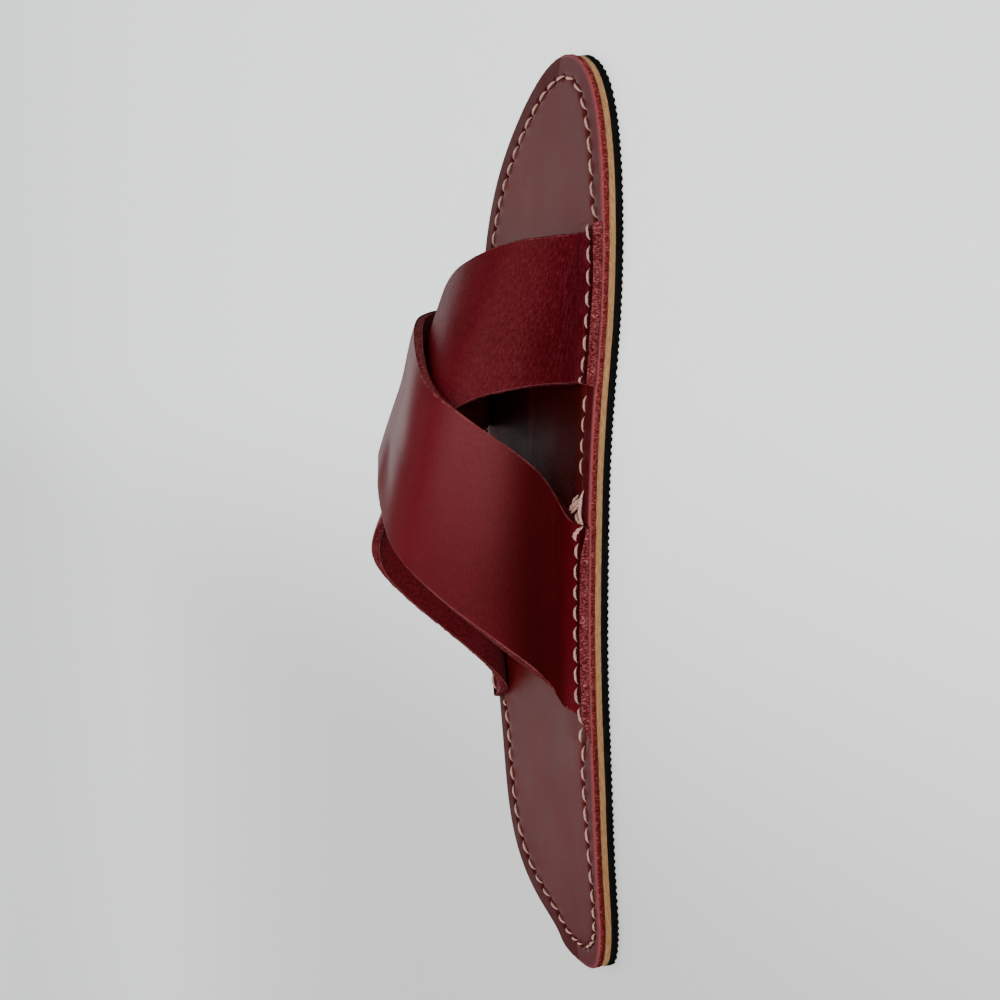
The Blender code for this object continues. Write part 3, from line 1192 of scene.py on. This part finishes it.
def grain_finish(name, cell_depth_mm, wrinkle_show, fold_depth_mm, fold_show, dark, wall_highlight, polish):
    """The grain side: wrinkles, and folds near the sole, with painted shade and highlight in their colour;
    painted shade above the folds and a painted highlight band higher up.

    Dark gives the amount of painted shade, and the next pair that of the painted highlight, each at the
    strap's rear and at its front edge.
    """
    made, tree, shader = new_finish(name, 0.5, 0.05)
    here = shoe_mm(tree)
    dye = use_group(tree, dye_group, {
        "Place": here, "Dark": RED_DEEP, "Main": RED_MAIN, "Pale": RED_PALE})
    round_foot, forward = marked(tree, "round"), marked(tree, "share")
    near_sole = spread(tree, round_foot, 36, 20)
    folds = noise(tree, strap_place(tree, 1.1, 7.0), 1.0, 3.0, 0.6)
    # Painted highlight: a paler band on the steep wall, in place of the bright floor's reflection.
    highlight_band = times(
        tree, spread(tree, round_foot, 28, 38), spread(tree, round_foot, 53, 46),
        spread(tree, forward, 0.0, 1.0, *wall_highlight))
    wrinkles = noise(tree, strap_place(tree, 0.5, 1.9), 1.0, 2.0, 0.6)
    wrinkled = times(tree, spread(tree, round_foot, 66, 26, 0.12, 1.25), wrinkle_show)
    # Painted shade: a dark band low on the medial wall, just above its turn from the sole, strongest towards
    # the strap's rear edge.
    turn_up_shade = times(
        tree, spread(tree, round_foot, 6, 17), spread(tree, round_foot, 42, 27),
        spread(tree, forward, 0.1, 0.95, *dark))
    rim_rub = times(
        tree, spread(tree, marked(tree, "side"), 0.9, 0.2),
        spread(tree, noise(tree, here, 3.0), 0.4, 0.6, 0.3, 0.8))
    # Painted shade in the narrow strip between the stitches and the sole's edge, at the strap's ends.
    margin = spread(tree, marked(tree, "from_edge"), 3.4, 1.8)
    set_colour(tree, shader, layers(tree, dye.outputs["Colour"], (
        (highlight_band, (0.165, 0.027, 0.031)),
        # Painted highlight on the raised folds near the sole.
        (times(tree, near_sole, spread(tree, folds, 0.46, 0.58), fold_show), FOLD_HIGHLIGHT),
        # Painted shade in the wrinkles' troughs and painted highlight on their ridges.
        (times(tree, spread(tree, wrinkles, 0.54, 0.40), wrinkled), WRINKLE_SHADE),
        (times(tree, spread(tree, wrinkles, 0.55, 0.66), wrinkled), WRINKLE_HIGHLIGHT),
        (turn_up_shade, (0.042, 0.0003, 0.0008)),
        (rim_rub, (0.26, 0.05, 0.06)),
        (times(tree, margin, 0.8), (0.018, 0.0006, 0.001)),
        # Painted shade in the stitch holes.
        (times(tree, marked(tree, "hole"), HOLE_SHOW), HOLE_SHADE),
    )))
    cells = node(tree, "ShaderNodeTexVoronoi", {
        "Vector": strap_place(tree, 1.5, 0.75), "Scale": 1.0}, feature="DISTANCE_TO_EDGE")
    fine = use_group(tree, grain_group, {"Place": here, "Pebbles per mm": 1.6})
    fine_relief = calc(
        tree, "ADD", times(tree, fine.outputs["Height"], 0.5), times(tree, wrinkles, 2.5))
    relief = calc(tree, "ADD", spread(tree, cells.outputs["Distance"], 0.0, 0.3), fine_relief)
    height = calc(
        tree, "ADD", times(tree, relief, cell_depth_mm), times(tree, folds, near_sole, fold_depth_mm))
    set_roughness(tree, shader, noise(tree, here, 17.0), 0.42, 0.52)
    set_polish(tree, shader, times(
        tree, spread(tree, round_foot, 32, 66, 0.02, polish), spread(tree, round_foot, 122, 94, 0.2, 1.0)))
    set_bump(tree, shader, height, 1.0)
    return made


front_grain = grain_finish(
    "front_strap_grain", cell_depth_mm=0.17, wrinkle_show=0.4, fold_depth_mm=0.6, fold_show=0.5,
    dark=(0.45, 0.0), wall_highlight=(0.35, 0.25), polish=0.5)
back_grain = grain_finish(
    "back_strap_grain", cell_depth_mm=0.04, wrinkle_show=0.13, fold_depth_mm=0.03, fold_show=0.05,
    dark=(0.9, 0.75), wall_highlight=(0.1, 0.9), polish=0.85)
print("made", front_grain.name, "and", back_grain.name)

# %% Straps: the flesh side and the cut edges


def flesh_finish(name):
    """The rough inner side: short fibres brushed flat."""
    made, tree, shader = new_finish(name, 0.95, 0.15)
    shader.inputs["Sheen Weight"].default_value = 0.25
    shader.inputs["Sheen Roughness"].default_value = 0.5
    shader.inputs["Sheen Tint"].default_value = (0.8, 0.25, 0.28, 1)
    here = shoe_mm(tree)
    nap = noise(tree, here, 0.9, 4.0, 0.65)
    patches = noise(tree, here, 7.0, 3.0)
    set_colour(tree, shader, layers(tree, (0.09, 0.003, 0.006), (
        (spread(tree, nap, 0.35, 0.7), (0.175, 0.011, 0.017)),
        (spread(tree, patches, 0.5, 0.7, 0, 0.5), (0.15, 0.012, 0.02)),
    )))
    set_bump(tree, shader, nap, 0.4)
    return made


def rim_finish(name):
    """The straps' long edges, burnished smooth and dark, with a pale line at both corners."""
    made, tree, shader = new_finish(name, 0.7, 0.25)
    fibres = use_group(tree, fibre_group, {
        "Place": shoe_mm(tree), "Deep": (0.06, 0.002, 0.003), "Body": (0.15, 0.014, 0.017),
        "Tip": (0.26, 0.055, 0.06)})
    from_middle = calc(tree, "ABSOLUTE", calc(tree, "SUBTRACT", marked(tree, "depth"), 0.5))
    corner = spread(tree, from_middle, 0.42, 0.5, 0, 0.8)
    set_colour(tree, shader, blend(tree, corner, fibres.outputs["Colour"], (0.36, 0.12, 0.13)))
    set_bump(tree, shader, fibres.outputs["Height"], 0.12)
    return made


flesh = flesh_finish("strap_flesh_side")
strap_cut = cut_edge_finish(
    "strap_cut_edge", (0.055, 0.0012, 0.002), (0.17, 0.02, 0.023), (0.40, 0.12, 0.13))
strap_rim = rim_finish("strap_rim")


def finish_strap(piece, grain):
    """Grain on the outer face, flesh on the inner one, and cut fibres on ends and rims."""
    depth = mean_of_faces(piece, "depth")
    at_end = from_ends(mean_of_faces(piece, "round") / ROUND_LENGTH) < AT_EDGE
    numbers = np.where(depth < 0.005, 0, np.where(depth > 0.995, 1, np.where(at_end, 2, 3)))
    finish_faces(piece, (grain, flesh, strap_cut, strap_rim), numbers)
    finish_piece(piece, "upper")


finish_strap(front_strap, front_grain)
finish_strap(back_strap, back_grain)

# %% [markdown]
# ## The stitches
# The thread is thick and waxed, and each stitch lies on the leather like a grain of rice, a little
# askew, with its pointed ends pulled down into the holes. One stitch is made from a sphere, drawn
# out and twisted so that its plies show. Copies of it are then turned along the line, set on
# whatever leather is there, and joined. Between the straps on the big toe's side a stitch is
# torn, and its loose ends are the same sphere drawn along curved ways.

# %% One stitch
THREAD_RADIUS = 0.50
PLY_COUNT = 3


def one_stitch():
    """A sphere of radius 1 whose poles lie along Y, where the stitch has its ends."""
    deselect()
    bpy.ops.mesh.primitive_uv_sphere_add(segments=15, ring_count=14, radius=1)
    piece = named("stitch")
    start_edit(piece)
    bpy.ops.transform.rotate(value=math.pi / 2, orient_axis="X", center_override=(0, 0, 0))
    stop_edit()
    return piece


pattern = one_stitch()
unit = points_of(pattern).copy()
run = unit[:, 1]


def thread_body(twist, ply_depth, blunt, fullness):
    """How far the sphere is drawn out or in at each point: twisted plies and narrow ends."""
    turn = np.arctan2(unit[:, 2], unit[:, 0]) - run * twist
    ply = 1 + ply_depth * np.cos(PLY_COUNT * turn)
    return ply * (1 - np.abs(run) ** blunt) ** fullness / np.maximum(np.sqrt(1 - run ** 2), 1e-3)


def copy_to(points):
    """A copy of the pattern with its own mesh, moved to these points."""
    piece = pattern.copy()
    piece.data = pattern.data.copy()
    bpy.context.scene.collection.objects.link(piece)
    move_points(piece, points)
    return piece


print("one stitch has", len(unit), "vertices")

# %% Where a stitch lies
STITCH_SHARE = 0.86
EDGE_GAP = 0.06
SAMPLES = 25
WAY_SAMPLES = 200
TORN_STITCHES = (138.5, 152.0)


def surface_height(along, across, is_lateral):
    """Height of the upper side of the leather under the thread, in mm."""
    if covered(np.array([along]), np.array([is_lateral]), 0.2)[0] < 0.5:
        return INSOLE_TOP
    first, last, side = (1, 0.8, -1) if is_lateral else (0, 0.2, 1)
    way = np.linspace(first, last, WAY_SAMPLES)
    lie_across, lie_height = over_arch(np.full(WAY_SAMPLES, along), way, STRAP_TOP)
    for name, (rear, front) in strap_edge.items():
        share = (along - rear(way)) / (front(way) - rear(way))
        if 0 < share[0] < 1:
            lie_height = lie_height - corner_press(name, way, share)
    return STRAP_BASE + float(np.interp(side * across, side * lie_across, lie_height))


def stitch_span(number, is_lateral):
    """Where a stitch starts and stops on the line; at a strap's edge it stays on one side."""
    start, stop = number + (1 - STITCH_SHARE) / 2, number + (1 + STITCH_SHARE) / 2
    along_it = np.linspace(start, stop, SAMPLES)
    on_strap = covered(on_line(along_it)[:, 0], np.full(SAMPLES, is_lateral), 0.05) > 0.5
    same = along_it[on_strap == (on_strap.mean() > 0.5)]
    if len(same) == SAMPLES:
        return start, stop
    if same[0] > start:
        return same[0] + EDGE_GAP, same[-1]
    return same[0], same[-1] - EDGE_GAP


print("insole and strap base, mm:", INSOLE_TOP, STRAP_BASE)

# %% All whole stitches
SLANT = math.radians(7)
THINNER_ON_INSOLE = 0.84
FLATTENED = 0.82
LIES_ABOVE, ENDS_DIP = 0.28, 0.95
draw = np.random.default_rng(71)
stitch_body = thread_body(twist=2.6, ply_depth=0.10, blunt=2.2, fullness=0.9)


def lay_stitch(start, stop, is_lateral):
    """One stitch on the line from start to stop, a little askew, on whatever leather is there."""
    ends = on_line(np.array([start, stop]))
    middle = ends.mean(axis=0)
    length = np.linalg.norm(ends[1] - ends[0])
    forward = (ends[1] - ends[0]) / length
    left = np.array([-forward[1], forward[0]])
    heights = [surface_height(*on_line(np.array([start + share * (stop - start)]))[0], is_lateral)
               for share in (0.02, 0.5, 0.98)]
    thinner = THINNER_ON_INSOLE if heights[1] == INSOLE_TOP else 1.0
    radius = THREAD_RADIUS * draw.uniform(0.9, 1.1) * thinner
    ahead = run * length / 2 * draw.uniform(0.90, 1.06)
    skew = SLANT * draw.uniform(0.6, 1.3)
    aside = unit[:, 0] * radius * stitch_body + ahead * math.sin(skew)
    plan = middle + ahead[:, None] * math.cos(skew) * forward + aside[:, None] * left
    rise = unit[:, 2] * radius * FLATTENED * stitch_body + LIES_ABOVE - ENDS_DIP * np.abs(run) ** 3
    ground = np.interp(run, (-0.98, 0, 0.98), heights)
    return copy_to(place(plan[:, 0], plan[:, 1], ground + rise))


threads = []
for number in np.arange(stitch_count - 1) + STITCH_START:
    middle = on_line(np.array([number + 0.5]))[0]
    is_lateral = middle[1] > edges_at(middle[0])[2]
    if is_lateral or not TORN_STITCHES[0] < middle[0] < TORN_STITCHES[1]:
        threads.append(lay_stitch(*stitch_span(number, is_lateral), is_lateral))
print("whole stitches:", len(threads))

# %% The torn thread between the straps
PLY_DEPTH = 0.16
TWIST_PER_MM = 0.8
FLUFF = 0.35
LOOK_AHEAD = 0.05
TORN_ENDS = (
    # radius, how blunt, then the way it lies: along, across, height
    (0.52, 3.0, (
        (151.2, -26.9, 7.5), (148.5, -26.2, 8.3), (145.5, -26.0, 8.6), (142.0, -26.1, 8.4),
        (139.7, -26.5, 7.6))),
    (0.62, 9.0, ((148.6, -25.8, 7.9), (147.2, -23.6, 8.3), (145.7, -21.2, 8.5), (144.3, -19.0, 8.3))),
    (0.42, 4.0, ((147.0, -25.6, 8.6), (145.2, -23.6, 9.0), (144.2, -21.6, 8.9), (143.6, -20.2, 8.5))),
    (0.42, 4.0, ((144.0, -22.6, 8.0), (142.6, -23.6, 8.6), (141.2, -25.0, 8.4), (139.9, -26.0, 7.7))),
    (0.30, 5.0, ((149.5, -25.4, 8.6), (147.6, -23.0, 9.2), (145.9, -21.9, 9.0))),
    (0.62, 3.0, ((140.2, -26.9, 8.2), (138.8, -26.4, 9.7), (137.2, -26.1, 10.7), (135.8, -26.5, 10.3))),
)


def strand(radius, blunt, way_points):
    """One loose end: the stitch's sphere drawn along a curved way, with its plies showing."""
    way_points = np.array(way_points)
    travelled = travel(way_points)
    curves = [spline(travelled, way_points[:, i]) for i in range(3)]
    at = (run + 1) / 2 * travelled[-1]

    def on_way(distance):
        return np.stack([curve(distance) for curve in curves], axis=1)

    ahead = on_way(np.minimum(at + LOOK_AHEAD, travelled[-1])) - on_way(np.maximum(at - LOOK_AHEAD, 0))
    ahead[:, 2] = 0
    ahead /= np.linalg.norm(ahead, axis=1)[:, None]
    aside = np.stack([-ahead[:, 1], ahead[:, 0], 0 * run], axis=1)
    body = radius * thread_body(travelled[-1] * TWIST_PER_MM, PLY_DEPTH, blunt, 0.8)
    centre = on_way(at)
    outer = centre + aside * (unit[:, 0] * body)[:, None] + [0, 0, 1] * (unit[:, 2] * body)[:, None]
    spots = place(*outer.T)
    fluff = FLUFF * wobble(spots, 0.6, int(radius * 100))
    return copy_to(spots + (spots - place(*centre.T)) * fluff[:, None])


threads += [strand(*end) for end in TORN_ENDS]
print("loose ends:", len(TORN_ENDS))

# %% All the thread, joined
bpy.data.objects.remove(pattern)
deselect()
for piece in threads:
    piece.select_set(True)
bpy.context.view_layer.objects.active = threads[0]
bpy.ops.object.join()
stitches = named("stitches")
face_outward(stitches)
smooth(stitches, 70)
print("thread width over all, mm:", round(stitches.dimensions.x / MM, 1))

# %% Waxed thread
thread, tree, shader = new_finish("waxed_thread", 0.6, 0.4)
here = shoe_mm(tree)
fluff = noise(tree, here, 0.5, 3.0)
stain = spread(tree, noise(tree, here, 11.0, 2.0), 0.55, 0.75, 0, 0.5)
set_colour(tree, shader, layers(tree, (0.50, 0.25, 0.20), (
    (spread(tree, fluff, 0.35, 0.65), (0.80, 0.50, 0.41)),
    (stain, (0.42, 0.16, 0.15)),
)))
set_bump(tree, shader, fluff, 0.1)
stitches.data.materials.append(thread)
finish_piece(stitches, None)

# %% [markdown]
# ## Floor, light and camera
# The room is plain and pale. The floor is pale and glows a little, which is painted light, and
# painted shade darkens it towards the heel. The main light is a wide, low panel far out on the
# little toe's side, like a window, so the straps' crests shine softly and their inner walls fall
# into shade. A panel above and one on the big toe's side lift the shade. Those two are left out
# of reflections, so that they put no second shine on the leather.

# %% Floor
FLOOR_GLOW, FLOOR_SHADED = (0.97, 1.03, 1.0), (0.53, 0.55, 0.53)
deselect()
bpy.ops.mesh.primitive_plane_add(size=14)
floor = named("floor")
pale, tree, shader = new_finish("pale_floor", 0.8, 0.2)
away = node(tree, "ShaderNodeSeparateXYZ", {"Vector": node(tree, "ShaderNodeTexCoord").outputs["Object"]})
# Painted shade: the floor darkens towards the heel, and less so far out to the side.
shade = times(
    tree, spread(tree, away.outputs["Y"], -0.05, 0.13), spread(tree, away.outputs["X"], 0.1, 0.9, 1.0, 0.35))
set_colour(tree, shader, blend(tree, shade, (0.82, 0.855, 0.84), FLOOR_SHADED))
# Painted light: the floor glows, though it is no lamp.
feed(tree, shader.inputs["Emission Color"], blend(tree, shade, FLOOR_GLOW, FLOOR_SHADED))
shader.inputs["Emission Strength"].default_value = 0.85
floor.data.materials.append(pale)
floor.visible_glossy = False
print("made", floor.name)

# %% Light


def panel(name, azimuth, elevation, width, height, radiance, distance=1.6):
    """A soft panel that faces the shoe, as bright as a wall of that radiance.

    Azimuth 0 is the little toe's side and 90 the heel. All four angles are in degrees, and
    the distance is in metres.
    """
    turn, tilt = math.radians(azimuth), math.radians(elevation)
    towards = Vector((math.cos(turn) * math.cos(tilt), math.sin(turn) * math.cos(tilt), math.sin(tilt)))
    light = bpy.data.lights.new(name, "AREA")
    light.shape = "RECTANGLE"
    light.size = 2 * distance * math.tan(math.radians(width / 2))
    light.size_y = 2 * distance * math.tan(math.radians(height / 2))
    light.energy = radiance * math.pi * light.size * light.size_y
    lamp = bpy.data.objects.new(name, light)
    lamp.location = towards * distance
    lamp.rotation_euler = (-towards).to_track_quat("-Z", "Y").to_euler()
    lamp.visible_camera = False
    bpy.context.scene.collection.objects.link(lamp)
    return lamp


panel("window", azimuth=0, elevation=13, width=50, height=24, radiance=1.55, distance=4.5)
ceiling = panel("ceiling", azimuth=0, elevation=76, width=40, height=40, radiance=2.4)
fill = panel("fill", azimuth=180, elevation=41, width=50, height=22, radiance=6.0)
for lamp in (ceiling, fill):
    lamp.visible_glossy = False
world = bpy.data.worlds.new("room")
bpy.context.scene.world = world
world.use_nodes = True
room = world.node_tree
sky = room.nodes["Background"]
feed(room, sky.inputs["Color"], (0.96, 1.0, 0.99))
above = node(room, "ShaderNodeSeparateXYZ", {
    "Vector": node(room, "ShaderNodeTexCoord").outputs["Generated"]}).outputs["Z"]
feed(room, sky.inputs["Strength"], spread(room, above, -0.05, 0.1, 0.0, 0.26))
print("lights:", len(bpy.data.lights))

# %% Camera
CAMERA_PLACE = (-0.4273 - MIDDLE_ACROSS * MM, -0.0551, 0.2092)
TURN_TO_SHOE = math.radians(5.4)

camera_data = bpy.data.cameras.new("camera")
camera_data.lens = 54
camera_data.sensor_width = 36
camera_data.clip_start = 0.01
camera = bpy.data.objects.new("camera", camera_data)
bpy.context.scene.collection.objects.link(camera)
look = Vector((0.8703, 0.1050, -0.4811)).normalized()
right = Vector((-0.4852, 0.0161, -0.8742))
right = (right - look * right.dot(look)).normalized()
turn_cos, turn_sin = math.cos(TURN_TO_SHOE), math.sin(TURN_TO_SHOE)
look, right = look * turn_cos - right * turn_sin, right * turn_cos + look * turn_sin
facing = Matrix((right, right.cross(look), -look)).transposed().to_4x4()
camera.matrix_world = Matrix.Translation(CAMERA_PLACE) @ facing
bpy.context.scene.camera = camera
print("camera looks down by", round(math.degrees(math.asin(-look.z)), 1), "degrees")
